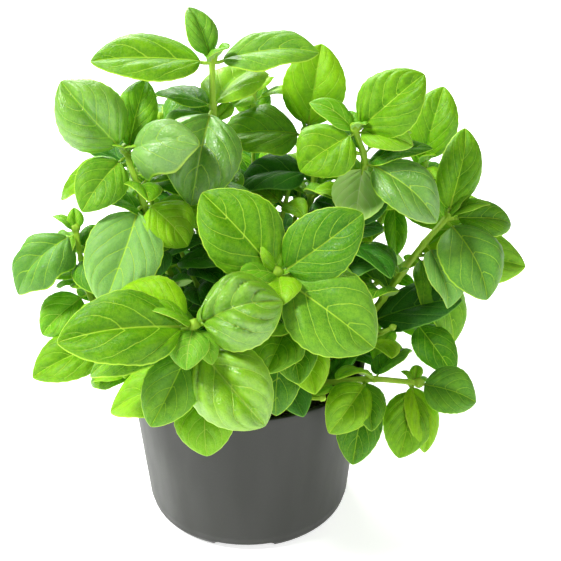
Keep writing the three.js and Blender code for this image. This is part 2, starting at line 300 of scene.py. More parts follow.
def leaf_material(name, deep, bright, vein, shine):
    """The upper face of a leaf: paler veins and margin, green that varies between and along leaves, painted
    shade in the grooves beside the veins and, on some leaves, a painted sheen.
    """
    material, tree, shader = new_material(name)
    side, rib, pillow = vein_masks(tree)
    tone = attribute(tree, "tone")
    patches = speckle(tree, 55)
    grain = speckle(tree, 900, 4)
    mottle = maths(tree, "MULTIPLY", speckle(tree, 240, 3), 0.35)
    mottle = maths(tree, "ADD", mottle, remap(tree, speckle(tree, 420, 3), 0.3, 0.7, -0.1, 0.1))
    blend = maths(tree, "ADD", maths(tree, "ADD", maths(tree, "MULTIPLY", patches, 0.6), mottle), tone)
    # Painted shade: the middles of the pillows are lighter and the grooves beside the veins darker.
    blend = maths(tree, "ADD", blend, maths(tree, "MULTIPLY", pillow, 0.12))
    green = mix(tree, remap(tree, blend, 0.40, 1.90), deep, bright)
    place = add_node(tree, "ShaderNodeTexCoord").outputs["Object"]
    inputs = {"Vector": place, "Scale": 620.0}
    cells = add_node(tree, "ShaderNodeTexVoronoi", inputs, feature="DISTANCE_TO_EDGE")
    net = remap(tree, cells.outputs["Distance"], 0.0, 0.16)
    # Painted sheen: the pale attribute mixes the green towards a pale bluish green that stands in for
    # reflected light.
    green = mix(tree, maths(tree, "MULTIPLY", attribute(tree, "pale"), 0.6), green, PAINTED_SHEEN_GREEN)
    fine = remap(tree, grain, 0.35, 0.7, 0.0, 0.08)
    green = mix(tree, fine, green, vein)
    green = mix(tree, remap(tree, net, 0.6, 0.0, 0.0, 0.07), green, vein)
    green = mix(tree, maths(tree, "MULTIPLY", side, 0.6), green, vein)
    green = mix(tree, maths(tree, "MULTIPLY", rib, 0.8), green, vein)
    margin = remap(tree, attribute(tree, "edge"), 0.7, 0.15, 0.0, 0.9)
    green = mix(tree, margin, green, vein)
    tree.links.new(green, shader.inputs["Base Color"])
    groove = maths(tree, "SUBTRACT", 1.0, maths(tree, "MAXIMUM", side, rib))
    normal = bump(tree, groove, 0.00035, 0.6)
    normal = bump(tree, net, 0.00018, 0.5, normal)
    normal = bump(tree, grain, 0.00006, 0.5, normal)
    tree.links.new(normal, shader.inputs["Normal"])
    dulled = remap(tree, grain, 0.3, 0.7, 0.36, 0.5)
    dulled = maths(tree, "ADD", dulled, remap(tree, patches, 0.3, 0.7, 0.0, 0.08))
    polish = maths(tree, "MULTIPLY", attribute(tree, "gloss"), 0.10)
    tree.links.new(maths(tree, "SUBTRACT", dulled, polish), shader.inputs["Roughness"])
    shader.inputs["Subsurface Weight"].default_value = 0.25
    shader.inputs["Subsurface Radius"].default_value = (0.35, 1.0, 0.1)
    shader.inputs["Subsurface Scale"].default_value = 0.0012
    shader.inputs["Specular IOR Level"].default_value = shine
    return material


def underside_material():
    """The lower face of a leaf: paler and duller, with raised veins and painted shade in the hollows
    between them.
    """
    material, tree, shader = new_material("leaf_underside")
    side, rib, pillow = vein_masks(tree)
    patches = speckle(tree, 60)
    ridge = maths(tree, "MAXIMUM", side, rib)
    green = mix(tree, patches, (0.34, 0.58, 0.13, 1), (0.46, 0.68, 0.20, 1))
    # Painted shade: the hollows between the raised veins are a darker green.
    green = mix(tree, maths(tree, "MULTIPLY", pillow, 0.3), green, (0.28, 0.52, 0.07, 1))
    green = mix(tree, maths(tree, "MULTIPLY", ridge, 0.7), green, (0.58, 0.76, 0.32, 1))
    tree.links.new(green, shader.inputs["Base Color"])
    normal = bump(tree, ridge, 0.0004, 0.7)
    normal = bump(tree, speckle(tree, 900, 4), 0.00008, 0.5, normal)
    tree.links.new(normal, shader.inputs["Normal"])
    shader.inputs["Roughness"].default_value = 0.62
    shader.inputs["Subsurface Weight"].default_value = 0.25
    shader.inputs["Subsurface Radius"].default_value = (0.35, 1.0, 0.1)
    shader.inputs["Subsurface Scale"].default_value = 0.0012
    return material


def stem_material():
    """Pale green, watery stems with fine lengthwise streaks and short down."""
    material, tree, shader = new_material("stem_skin")
    fibres = streaks(tree, 0.06, 1500.0, 2.0)
    green = mix(tree, fibres, (0.24, 0.46, 0.015, 1), (0.42, 0.66, 0.05, 1))
    green = mix(tree, remap(tree, speckle(tree, 70), 0.45, 0.75, 0.0, 0.5), green, (0.54, 0.72, 0.10, 1))
    tree.links.new(green, shader.inputs["Base Color"])
    normal = bump(tree, fibres, 0.0002, 0.5)
    normal = bump(tree, speckle(tree, 2500, 2), 0.0001, 0.5, normal)
    tree.links.new(normal, shader.inputs["Normal"])
    shader.inputs["Roughness"].default_value = 0.5
    shader.inputs["Subsurface Weight"].default_value = 0.3
    shader.inputs["Subsurface Radius"].default_value = (0.5, 1.0, 0.2)
    shader.inputs["Subsurface Scale"].default_value = 0.0015
    shader.inputs["Specular IOR Level"].default_value = 0.3
    return material


def pot_material():
    """Moulded dark grey polypropylene: a faint grain, slightly lighter where it is rubbed."""
    material, tree, shader = new_material("pot_plastic")
    flow = streaks(tree, 0.25, 60.0, 4.0)
    grain = speckle(tree, 2200, 2)
    grey = mix(tree, flow, (0.014, 0.015, 0.011, 1), (0.021, 0.023, 0.017, 1))
    grey = mix(tree, remap(tree, grain, 0.5, 0.8, 0.0, 0.25), grey, (0.052, 0.054, 0.047, 1))
    tree.links.new(grey, shader.inputs["Base Color"])
    normal = bump(tree, grain, 0.00004, 0.5)
    normal = bump(tree, flow, 0.0003, 0.25, normal)
    tree.links.new(normal, shader.inputs["Normal"])
    tree.links.new(remap(tree, flow, 0.3, 0.7, 0.42, 0.56), shader.inputs["Roughness"])
    return material


def soil_material():
    """Moist peat compost: near black, with brown fibres and a few pale grains."""
    material, tree, shader = new_material("compost")
    clumps = speckle(tree, 260, 6)
    crumbs = speckle(tree, 1400, 4)
    brown = mix(tree, remap(tree, clumps, 0.35, 0.7), (0.012, 0.008, 0.006, 1), (0.055, 0.034, 0.022, 1))
    brown = mix(tree, remap(tree, crumbs, 0.6, 0.72, 0.0, 0.7), brown, (0.14, 0.09, 0.055, 1))
    tree.links.new(brown, shader.inputs["Base Color"])
    tree.links.new(bump(tree, crumbs, 0.0009, 0.9), shader.inputs["Normal"])
    shader.inputs["Roughness"].default_value = 0.9
    return material


def floor_material():
    """A plain white sweep, very slightly mottled."""
    material, tree, shader = new_material("white_floor")
    shade = mix(tree, speckle(tree, 3), (0.90, 0.90, 0.90, 1), (0.93, 0.93, 0.93, 1))
    tree.links.new(shade, shader.inputs["Base Color"])
    shader.inputs["Roughness"].default_value = 0.9
    shader.inputs["Specular IOR Level"].default_value = 0.1
    shader.inputs["Emission Color"].default_value = (1, 1, 1, 1)
    shader.inputs["Emission Strength"].default_value = 0.7
    return material


# For each finish: the deepest and brightest green, the veins, and the specular level.
LEAF_FINISHES = {
    "leaf": ((0.038, 0.205, 0.001, 1), (0.290, 0.600, 0.002, 1), (0.48, 0.76, 0.05, 1), 0.20),
    "leaf_glossy": ((0.038, 0.205, 0.001, 1), (0.290, 0.600, 0.002, 1), (0.48, 0.76, 0.05, 1), 0.85),
    "leaf_young": ((0.110, 0.360, 0.002, 1), (0.270, 0.570, 0.006, 1), (0.56, 0.80, 0.10, 1), 0.20),
    # A darker copy of the leaf greens: painted shade for leaves deep inside the plant.
    "leaf_shaded": ((0.012, 0.110, 0.003, 1), (0.060, 0.270, 0.004, 1), (0.20, 0.46, 0.05, 1), 0.20),
}
PAINTED_SHEEN_GREEN = (0.26, 0.50, 0.17, 1)  # painted sheen: a pale bluish green that stands in for light reflected off the leaves
leaf_faces = {name: leaf_material(name + "_face", *finish) for name, finish in LEAF_FINISHES.items()}
leaf_back = underside_material()
stem_skin = stem_material()


# ---- leaves ----

def vein_phase(shape, share, across):
    """Counts the side veins: whole numbers lie on a vein. The veins bend forward towards the margin."""
    side = np.abs(across)
    lead = 0.40 * side + 0.24 * side ** 2.4
    return shape["veins"] * (share - lead) + 0.3 + 0.18 * (across > 0)


def vein_reach(shape, share, across):
    """How strong the side veins are: none before the base, and fading at the margin and the tip."""
    started = np.clip(2 * vein_phase(shape, share, across) + 2, 0, 1)
    return started * np.clip(4 * (1 - np.abs(across)), 0, 1) * np.clip(4 * (1 - share), 0, 1)


def blade_height(shape, share, across):
    """How far a blade's face stands above its midrib, for arrays of shares along and across."""
    side = np.abs(across)
    half = shape["width"] / 2 * blade_profile(share)
    height = half * side * np.sin(shape["fold"] * (0.6 + 0.8 * share))
    height = height + half * shape["bulge"] * 4 * side * (1 - side)
    height = height - half * shape["curl"] * side ** 4
    pillow = np.abs(np.sin(np.pi * vein_phase(shape, share, across))) ** 0.8
    inside = np.sin(np.pi * np.clip(side, 0, 1)) ** 0.6
    uneven = 0.65 + 0.35 * np.sin(2 * np.pi * (1.4 * share + 0.8 * across + 3 * shape["seed"]))
    quilt = shape["width"] / 2 * shape["quilt"] * pillow * inside * uneven
    height = height + quilt * vein_reach(shape, share, across)
    ripple = np.sin(2 * np.pi * (shape["ripples"] * share + 0.37 * np.sign(across) + shape["seed"]))
    return height + half * shape["wave"] * side ** 3 * ripple


def blade_points(shape, share, across):
    """Points of the blade's middle surface in the leaf's own axes, in millimetres."""
    length = shape["length"]
    base = 0.45 * shape["petiole"]
    along = base + (1 - base) * share
    past = np.clip(share - 0.5, 0, None) ** 2
    teeth = 1 + 0.010 * np.sin(2 * np.pi * (9 * share + shape["seed"])) * np.abs(across)
    y = across * shape["width"] / 2 * blade_profile(share) * teeth * math.cos(shape["fold"])
    z = blade_height(shape, share, across)
    turn = shape["roll"] + shape["twist"] * (share - 0.3)
    return np.stack([
        length * (along - 0.2 * shape["droop"] * past),
        length * shape["sway"] * np.sin(np.pi * along) + y * np.cos(turn) - z * np.sin(turn),
        length * (shape["arch"] * 4 * along * (1 - along) - shape["droop"] * past)
        + y * np.sin(turn) + z * np.cos(turn),
    ], axis=-1)


def natural_shape(base, **changes):
    """Adds the small differences that no two leaves share."""
    shape = {
        "petiole": 0.12,
        "arch": 0.08,
        "fold": math.radians(8),
        "bulge": seeded.uniform(0.10, 0.20),
        "curl": seeded.uniform(0.04, 0.18),
        "quilt": seeded.uniform(0.05, 0.11),
        "wave": seeded.uniform(0.02, 0.08),
        "ripples": seeded.uniform(1.2, 2.2),
        "droop": seeded.uniform(0.05, 0.5),
        "sway": seeded.uniform(-0.03, 0.03),
        "twist": seeded.uniform(-0.25, 0.25),
        "veins": seeded.choice([3.5, 4, 4.5]),
        "seed": seeded.random(),
        "tone": seeded.random(),
        "gloss": seeded.random() ** 2,
        # how much painted sheen, standing in for reflected light, pales the leaf
        "pale": 0.2 * seeded.random() ** 2,
        "roll": 0.0,
    }
    shape.update(base)
    shape.update(changes)
    return shape


# A leaf piece's materials, in order.
UPPER_FACE, LOWER_FACE, STALK, SHADED_FACE = 0, 1, 2, 3

# What each point of a leaf tells its material: each is one number per point.
LEAF_FIELDS = ("vein_phase", "vein_strength", "rib", "edge", "tone", "gloss", "pale")


def leaf_faces_for(steps, across_steps):
    """Faces and their materials for a closed blade: both grids, the margins and the two ends."""
    columns = across_steps + 1
    count = (steps + 1) * columns
    faces, slots = [], []
    for i in range(steps):
        for j in range(across_steps):
            a, b = i * columns + j, (i + 1) * columns + j
            faces.append((a, b, b + 1, a + 1))
            faces.append((count + a, count + a + 1, count + b + 1, count + b))
            slots += [UPPER_FACE, LOWER_FACE]
        left, right = i * columns, i * columns + across_steps
        faces.append((left, count + left, count + left + columns, left + columns))
        faces.append((right, right + columns, count + right + columns, count + right))
        slots += [UPPER_FACE, UPPER_FACE]
    last = steps * columns
    for j in range(across_steps):
        faces.append((j, j + 1, count + j + 1, count + j))
        faces.append((last + j, count + last + j, count + last + j + 1, last + j + 1))
        slots += [UPPER_FACE, UPPER_FACE]
    return faces, slots


def leaf_mesh(shape, joint, steps, across_steps):
    """A closed leaf: upper face, lower face with its midrib, and the petiole back to its joint."""
    shares = 0.5 - 0.5 * np.cos(np.linspace(0.05, np.pi - 0.03, steps + 1))
    acrosses = np.sin(np.linspace(-np.pi / 2, np.pi / 2, across_steps + 1))
    share, across = np.meshgrid(shares, acrosses, indexing="ij")
    middle = blade_points(shape, share, across)
    normal = np.cross(np.gradient(middle, axis=0), np.gradient(middle, axis=1))
    normal /= np.linalg.norm(normal, axis=2)[:, :, None]
    half = shape["width"] / 2 * blade_profile(share)
    off_rib = np.abs(across) * half
    edge = (1 - np.abs(across)) * half
    scale = max(shape["length"], 14) / 50
    thickness = 0.13 * scale + 0.12 * np.clip(edge, 0, 1)
    rib = 0.5 * scale * (1 - share) ** 0.8 * np.exp(-(off_rib / (0.7 * scale)) ** 2)
    upper = middle + normal * (thickness - 0.6 * rib)[:, :, None]
    lower = middle - normal * (thickness + 1.2 * rib)[:, :, None]
    blade = np.vstack([upper.reshape(-1, 3), lower.reshape(-1, 3)])
    faces, slots = leaf_faces_for(steps, across_steps)

    stalk_end = 0.45 * shape["petiole"] + 0.12
    along = np.linspace(0.0, stalk_end, 6)
    spine = np.stack([
        along * shape["length"],
        shape["sway"] * shape["length"] * np.sin(np.pi * along),
        shape["arch"] * shape["length"] * 4 * along * (1 - along) - 0.3 * scale,
    ], axis=1)
    foot = shape["axes"].T @ (joint - shape["start"])
    if np.linalg.norm(foot) > 1:
        spine = np.vstack([foot, spine])
    angles = np.linspace(0, 2 * np.pi, 10, endpoint=False)
    circle = np.stack([np.cos(angles), np.sin(angles)], axis=1)

    def stalk_section(progress):
        return (0.55 * scale + 0.25) * (1.15 - 0.8 * progress ** 2) * circle

    stalk = sweep(smooth_path(spine, 14), stalk_section)
    faces = faces + ring_faces(len(stalk), len(angles), len(blade))
    slots = slots + [STALK] * (len(faces) - len(slots))
    off_blade = np.zeros(stalk.shape[0] * stalk.shape[1])
    grids = (
        vein_phase(shape, share, across),
        vein_reach(shape, share, across),
        off_rib / scale * (1 + share),
        edge / scale,
        np.full_like(share, shape["tone"]),
        np.full_like(share, shape["gloss"]),
        np.full_like(share, shape["pale"]),
    )
    return {
        "vertices": shape["start"] + np.vstack([blade, stalk.reshape(-1, 3)]) @ shape["axes"].T,
        "faces": faces,
        "slots": slots,
        "fields": [np.concatenate([grid.ravel(), grid.ravel(), off_blade]) for grid in grids],
    }


def add_leaves(name, meshes, slot, shaded=None, finish=None):
    """One piece from one or more leaf meshes. shaded says which of them get the darker green of painted
    shade.

    The upper faces have the slot's own finish unless another is named.
    """
    faces, slots, first = [], [], 0
    for index, mesh in enumerate(meshes):
        faces += [tuple(first + corner for corner in face) for face in mesh["faces"]]
        dark = shaded is not None and shaded[index]
        slots += [SHADED_FACE if dark and face == UPPER_FACE else face for face in mesh["slots"]]
        first += len(mesh["vertices"])
    vertices = np.vstack([mesh["vertices"] for mesh in meshes])
    materials = [leaf_faces[finish or slot], leaf_back, stem_skin]
    if shaded is not None:
        materials.append(leaf_faces["leaf_shaded"])
    piece = add_mesh(name, vertices, faces, materials, slots)
    for index, field in enumerate(LEAF_FIELDS):
        add_attribute(piece, field, np.concatenate([mesh["fields"][index] for mesh in meshes]))
    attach(piece, "root")
    return piece


def pointing(heading, rise, turn):
    """A leaf's axes, for angles in degrees: along it, across it, and out of its face."""
    rotation = Matrix.Rotation(math.radians(heading), 3, "Z")
    rotation = rotation @ Matrix.Rotation(math.radians(-rise), 3, "Y")
    rotation = rotation @ Matrix.Rotation(math.radians(turn), 3, "X")
    return np.array(rotation)


# Where a grown leaf differs from the ordinary: how it curls or droops, how dark or glossy it is, and how
# pale its painted sheen makes it.
SPECIAL_SHAPES = {
    "leaf_tall_left": {"arch": 0.03, "curl": 0.1, "droop": 0.1, "twist": -0.1, "roll": -0.3, "tone": 0.4},
    "leaf_tall_right": {"arch": 0.04, "curl": 0.1, "droop": 0.2, "wave": 0.08, "roll": 0.2, "tone": 0.4},
    "leaf_tall_crown": {"tone": 0.4, "twist": 0.2},
    "leaf_tall_hanging": {"gloss": 0.9, "bulge": 0.2, "tone": 0.3, "pale": 0.2},
    "leaf_upper_left_outer": {"bulge": 0.2, "curl": 0.3, "gloss": 0.8, "tone": 0.5},
    "leaf_upper_left_up": {"tone": 0.4, "bulge": 0.18},
    "leaf_upper_left_inner": {"pale": 0.7, "tone": 0.5, "bulge": 0.25, "curl": 0.6, "wave": 0.15},
    "leaf_upper_left_hanging": {"bulge": 0.1, "curl": 0.05, "sway": 0.05, "tone": 0.4, "pale": 0.95},
    "leaf_left_outer": {"tone": 0.1, "pale": 0.4, "curl": 0.3, "wave": 0.12},
    "leaf_front_left_long": {"tone": 0.35, "bulge": 0.14, "curl": 0.1, "droop": 0.2},
    "leaf_front_left_gloss": {
        "bulge": 0.24, "curl": 0.3, "quilt": 0.28, "gloss": 1.0, "tone": 0.55, "pale": 0.1,
    },
    "leaf_front_left_drop": {
        "bulge": 0.2, "curl": 0.2, "quilt": 0.2, "gloss": 1.0, "tone": 0.75, "pale": 0.0,
    },
    "leaf_front_left_lowest": {"tone": 0.6},
    "leaf_front_left_low": {"tone": 0.4},
    "leaf_centre_left": {"bulge": 0.14, "curl": 0.02, "droop": 0.1, "twist": 0.05, "tone": 0.35},
    "leaf_centre_right": {"bulge": 0.14, "curl": 0.05, "droop": 0.1, "twist": 0.0, "tone": 0.15},
    "leaf_centre_front": {"bulge": 0.14, "curl": 0.05, "droop": 0.2, "twist": 0.0, "tone": 0.4},
    "leaf_upper_right_out": {"tone": 0.45, "curl": 0.15, "quilt": 0.15},
    "leaf_upper_right_front": {"tone": 0.5, "gloss": 0.5, "bulge": 0.16},
    "leaf_upper_right_drop": {"tone": 0.3, "gloss": 0.8, "pale": 0.3},
    "leaf_right_out": {"tone": 0.2, "pale": 0.3, "curl": 0.25},
    "leaf_right_up": {"tone": 0.35},
    "leaf_right_folded": {"bulge": 0.08, "curl": 0.0, "droop": 0.4, "pale": 0.8},
    "leaf_inner_left": {"tone": 0.5, "pale": 0.1, "gloss": 0.7},
    "leaf_low_right_curl": {"curl": 0.35, "droop": 1.0},
}

# Grown leaves that shine in the light from above.
GLOSSY_LEAVES = {
    "leaf_front_left_gloss", "leaf_front_left_drop", "leaf_tall_hanging", "leaf_upper_right_drop",
    "leaf_upper_left_outer", "leaf_upper_left_inner",
}

# Where the camera is from the foot of the pot's axis, in millimetres.
CAMERA_OFFSET = np.array([0, -502.0, 384.0])

pot_low, pot_high = (np.array(corner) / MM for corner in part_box("pot"))
pot_axis = (pot_low + pot_high) / 2
pot_axis[2] = 0
pot_radius = (pot_high[0] - pot_low[0]) / 2
soil_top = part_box("soil")[1][2] / MM
eye = pot_axis + CAMERA_OFFSET

# Steps along and across a blade: finest on the grown leaves.
GROWN_DETAIL = (56, 36)
LOWER_DETAIL = (44, 28)
FILL_DETAIL = (30, 22)
YOUNG_DETAIL = (24, 18)

STEM_STEPS = 120
stem_paths = {}
for node in frame["nodes"]:
    if node.startswith("stem_"):
        stem_paths[node.removeprefix("stem_")] = even_path(read_stem(node), STEM_STEPS)

material_slots = {part["node"]: part["material_slot"] for part in frame["record"]["subparts"]}
leaf_joints = {stem: [] for stem in stem_paths}  # the steps of each stem's path where leaves grow
crowded = np.empty((0, 3))
in_view = np.empty((0, 3))


def sample(shape, steps, across_steps):
    """Points spread over a leaf, in the frame's axes."""
    shares, acrosses = np.linspace(0.08, 0.97, steps), np.linspace(-0.92, 0.92, across_steps)
    share, across = np.meshgrid(shares, acrosses, indexing="ij")
    return shape["start"] + blade_points(shape, share, across).reshape(-1, 3) @ shape["axes"].T


def remember(points, seen):
    """Notes where a leaf has grown. What is seen isn't hidden by later leaves."""
    global crowded, in_view
    crowded = np.vstack([crowded, points])
    if seen:
        in_view = np.vstack([in_view, points])


for node in sorted(frame["nodes"]):
    if not node.startswith("leaf_"):
        continue
    stem = max((s for s in stem_paths if node.startswith(f"leaf_{s}_")), key=len)
    shape = natural_shape(read_leaf(node, stem_paths[stem]), **SPECIAL_SHAPES.get(node, {}))
    index = int(np.argmin(np.linalg.norm(stem_paths[stem] - shape["start"], axis=1)))
    leaf_joints[stem].append(index)
    mesh = leaf_mesh(shape, stem_paths[stem][index], *GROWN_DETAIL)
    finish = "leaf_glossy" if node in GLOSSY_LEAVES else None
    leaf = add_leaves(node.replace("leaf_", "blade_"), [mesh], material_slots[node], finish=finish)
    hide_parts(node)
    remember(sample(shape, 12, 9), seen=True)


# ---- young and lower leaves, which the CAD leaves to this script ----

# Smaller seedlings that fill the pot: foot on the soil and tip, from the pot's axis, in millimetres.
SEEDLINGS = {
    "front": ((-2, -42), (4, -64, 102)),
    "front_right": ((20, -40), (36, -62, 101)),
    "front_side": ((-36, -24), (-60, -48, 108)),
    "left": ((-44, 2), (-80, -18, 118)),
    "left_inner": ((-16, -6), (-34, -6, 158)),
    "left_high": ((-30, 12), (-54, 14, 190)),
    "left_back": ((-30, 30), (-70, 42, 118)),
    "left_back_high": ((-18, 24), (-44, 44, 212)),
    "back": ((-8, 44), (-24, 78, 114)),
    "back_middle": ((0, 20), (-12, 34, 192)),
    "back_high": ((4, 34), (6, 54, 224)),
    "back_side": ((28, 40), (50, 78, 122)),
    "back_right_high": ((22, 28), (34, 52, 186)),
    "right_back": ((44, 14), (94, 20, 140)),
    "right": ((46, -10), (76, -16, 114)),
    "right_inner": ((14, -4), (34, -22, 146)),
    "right_high": ((30, 8), (72, 10, 172)),
    "right_middle": ((26, 20), (60, 28, 150)),
    "right_low": ((44, 4), (94, -4, 112)),
    "middle": ((10, 10), (12, 4, 168)),
    "middle_high": ((8, 2), (24, 20, 182)),
}
FOOT_DEPTH = 4  # of a seedling's foot, in the soil
for seedling, (foot, tip) in SEEDLINGS.items():
    foot = np.array([*foot, soil_top - FOOT_DEPTH])
    tip = np.array(tip, dtype=float)
    lean = foot + (tip - foot) * [0.3, 0.3, 0.55]
    stem_paths[f"seedling_{seedling}"] = pot_axis + even_path([foot, lean, tip], STEM_STEPS)
    leaf_joints[f"seedling_{seedling}"] = []

# For each stem: share of the stem's length, then heading, rise and turn to the nearest 5 degrees, then
# length and width in millimetres. The tips of the leaves that the photo shows come about where they are
# in it.
YOUNG_LEAVES = {
    "tall": [(1, -55, 40, 20, 16, 14), (1, 125, 50, 0, 12, 9)],
    "upper_left": [(1, -135, 40, 0, 9, 7), (1, -50, 40, 0, 9, 7)],
    "left": [(1, 170, 40, 0, 14, 9), (1, 100, 70, 0, 12, 9), (1, -140, -45, 0, 32, 22)],
    "front_left": [(1, -170, 35, 0, 22, 18), (1, -100, -35, 0, 20, 19), (1, -50, -45, 0, 18, 13)],
    "centre": [
        (1, 140, 70, -20, 19, 14),
        (1, -85, -15, 0, 19, 20),
        (1, -150, 20, -25, 20, 15),
        (1, 5, 20, 0, 9, 7),
    ],
    "upper_right": [
        (1, 170, 35, -30, 26, 15),
        (1, -20, -5, 40, 28, 18),
        (1, -70, 40, 0, 11, 9),
        (1, 110, 50, 0, 11, 9),
    ],
    "right": [(1, 15, 50, 0, 17, 12), (1, -5, 25, 0, 23, 15), (1, 120, 60, 0, 10, 7)],
    "low_right": [(1, 75, 30, 0, 10, 7), (1, 160, 40, 0, 8, 6)],
    "inner": [(1, 170, 65, 0, 10, 8), (1, 20, 55, 0, 11, 8)],
    "back_right": [(1, -60, 50, 0, 14, 10), (1, 130, 45, 0, 14, 10)],
    "back_left": [(1, -40, 50, 0, 16, 12), (1, 60, 45, 0, 14, 10)],
    "back": [(1, 10, 55, 0, 16, 12), (1, 190, 40, 0, 18, 13)],
}
LOWER_LEAVES = {
    "tall": [(0.88, 145, 5, 0, 36, 24), (0.88, 60, 10, 0, 48, 34)],
    "centre": [
        (0.72, -140, 15, 0, 34, 28),
        (0.70, -80, -25, 0, 30, 24),
        (0.60, -100, -40, 0, 36, 26),
        (0.66, -65, -25, 0, 34, 26),
    ],
    "front_left": [(0.45, -170, -5, -20, 52, 36)],
    "upper_right": [(0.88, 0, 15, 0, 34, 24)],
    "back_right": [(0.82, -85, -65, 0, 30, 14)],
    "low_right": [(0.97, -70, -50, 0, 36, 18), (0.70, -85, -30, 0, 28, 18)],
    "seedling_right_back": [(1, -15, 0, 40, 58, 36), (1, -5, 30, 0, 50, 24), (1, -55, -45, 0, 52, 30)],
}


OFF_STEM = 1.2  # how far from the stem's middle a leaf's own axes start


def leaf_at(stem, share, heading, rise, turn, length, width, **changes):
    """A leaf that grows from a share of a stem's length."""
    axes = pointing(heading, rise, turn)
    joint = stem_paths[stem][round(share * STEM_STEPS)]
    start = joint + OFF_STEM * axes[:, 0]
    base = {"start": start, "axes": axes, "length": length, "width": width}
    return joint, natural_shape(base, **changes)


def add_chosen_leaves(kind, table, slot, detail):
    """One piece for each stem in the table, with the leaves that the table gives it."""
    for stem, rows in table.items():
        meshes = []
        for row in rows:
            joint, shape = leaf_at(stem, *row)
            meshes.append(leaf_mesh(shape, joint, *detail))
            leaf_joints[stem].append(round(row[0] * STEM_STEPS))
            remember(sample(shape, 8, 7), seen=True)
        add_leaves(f"{kind}_{stem}", meshes, slot)


add_chosen_leaves("young", YOUNG_LEAVES, "leaf_young", YOUNG_DETAIL)
add_chosen_leaves("lower", LOWER_LEAVES, "leaf", LOWER_DETAIL)


for path in stem_paths.values():
    remember(path[::4], seen=False)


# ---- fill leaves, which grow wherever there is room ----

# Where a fill leaf may be, in millimetres, or as a share of the pot's height or radius.
ABOVE_RIM = 2
ABOVE_SOIL = 4
INSIDE_WALL = 6
OUTSIDE_WALL = 3
LOWEST_OUTSIDE = 0.8
BEFORE_POT = 0.3
LEAF_CLEARANCE = 2.6

# A fill leaf's sampled points along and across. The first rows, at its stem, may touch others.
FILL_SAMPLES = (9, 7)
ROWS_AT_STEM = 2

# How close two points must look, in radians, for the nearer to hide the other, how much nearer it must
# be, in millimetres, and the share of a fill leaf that may hide others.
SAME_SIGHT = 0.006
NEARER = 2
MOST_HIDING = 0.25


def leaf_fits(shape):
    """Whether a leaf is clear of what has grown, of the pot and of the CAD box, and hides little."""
    points = sample(shape, *FILL_SAMPLES)
    if (points < box_low).any() or (points > box_high).any():
        return False
    from_axis = np.linalg.norm((points - pot_axis)[:, :2], axis=1)
    above_rim = points[:, 2] > pot_high[2] + ABOVE_RIM
    over_soil = (from_axis < pot_radius - INSIDE_WALL) & (points[:, 2] > soil_top + ABOVE_SOIL)
    outside = (from_axis > pot_radius + OUTSIDE_WALL) & (points[:, 2] > LOWEST_OUTSIDE * pot_high[2])
    if not (above_rim | over_soil | outside).all():
        return False
    offsets = points - pot_axis
    before_pot = (offsets[:, 1] < -BEFORE_POT * pot_radius) & (np.abs(offsets[:, 0]) < pot_radius)
    if (before_pot & (points[:, 2] < pot_high[2])).any():
        return False
    low, high = points.min(0) - 3, points.max(0) + 3
    near = crowded[((crowded > low) & (crowded < high)).all(axis=1)]
    away = points[ROWS_AT_STEM * FILL_SAMPLES[1]:]
    if len(near) and np.linalg.norm(away[:, None] - near[None], axis=2).min() < LEAF_CLEARANCE:
        return False
    sight, depth = directions(points)
    grown_sight, grown_depth = directions(in_view)
    low, high = sight.min(0) - SAME_SIGHT, sight.max(0) + SAME_SIGHT
    behind = ((grown_sight > low) & (grown_sight < high)).all(axis=1) & (grown_depth > depth.min())
    if not behind.any():
        return True
    angles = np.linalg.norm(sight[:, None] - grown_sight[behind][None], axis=2)
    hides = (angles < SAME_SIGHT) & (grown_depth[behind][None] > depth[:, None] + NEARER)
    return hides.any(axis=1).mean() < MOST_HIDING


def directions(points):
    """The direction and distance of points from the camera."""
    offsets = points - eye
    distances = np.linalg.norm(offsets, axis=1)
    return offsets / distances[:, None], distances


box_low, box_high = (np.array(corner) / MM for corner in cad_box)
dice = random.Random(11)
LOWEST_PAIR = 8  # millimetres above the soil
ATTEMPTS = 12  # at each leaf, each with a shorter leaf that may point further aside


def fill_stem(stem, spacing, shortest, longest):
    """Grows opposite pairs of leaves up a stem, wherever there is room. Returns joints and shapes."""
    path = stem_paths[stem]
    stem_length = np.linalg.norm(np.diff(path, axis=0), axis=1).sum()
    share = np.argmax(path[:, 2] > soil_top + LOWEST_PAIR) / STEM_STEPS
    heading = dice.uniform(0, 180)
    leaves = []
    while share <= 1.0:
        for opposite in (0, 180):
            for attempt in range(ATTEMPTS):
                length = dice.uniform(shortest, longest) * (1 - 0.03 * attempt)
                aim = heading + opposite + dice.uniform(-12, 12) * (1 + 0.35 * attempt)
                rise, turn = dice.uniform(-30, 35), dice.uniform(-25, 25)
                width = length * dice.uniform(0.58, 0.72)
                petiole = dice.uniform(0.1, 0.3)
                joint, shape = leaf_at(stem, share, aim, rise, turn, length, width, petiole=petiole)
                if leaf_fits(shape):
                    leaves.append((joint, shape))
                    leaf_joints[stem].append(round(share * STEM_STEPS))
                    remember(sample(shape, *FILL_SAMPLES), seen=False)
                    break
        share += spacing / stem_length * dice.uniform(0.8, 1.2)
        heading += 90 + dice.uniform(-15, 15)
    return leaves


# Large leaves first, then small ones: the spacing of pairs, the shortest and the longest leaf, in mm.
FILL_PASSES = ((14, 26, 44), (11, 16, 28))
SHADE_RADIUS = 58  # from the pot's axis
SHADE_TOP = 170  # above the ground


def is_shaded(shape):
    """Leaves low in the middle of the plant get a darker green than those outside: painted shade, where the
    foliage above would shade them.
    """
    from_axis = np.linalg.norm((shape["start"] - pot_axis)[:2])
    return from_axis < SHADE_RADIUS and shape["start"][2] < SHADE_TOP


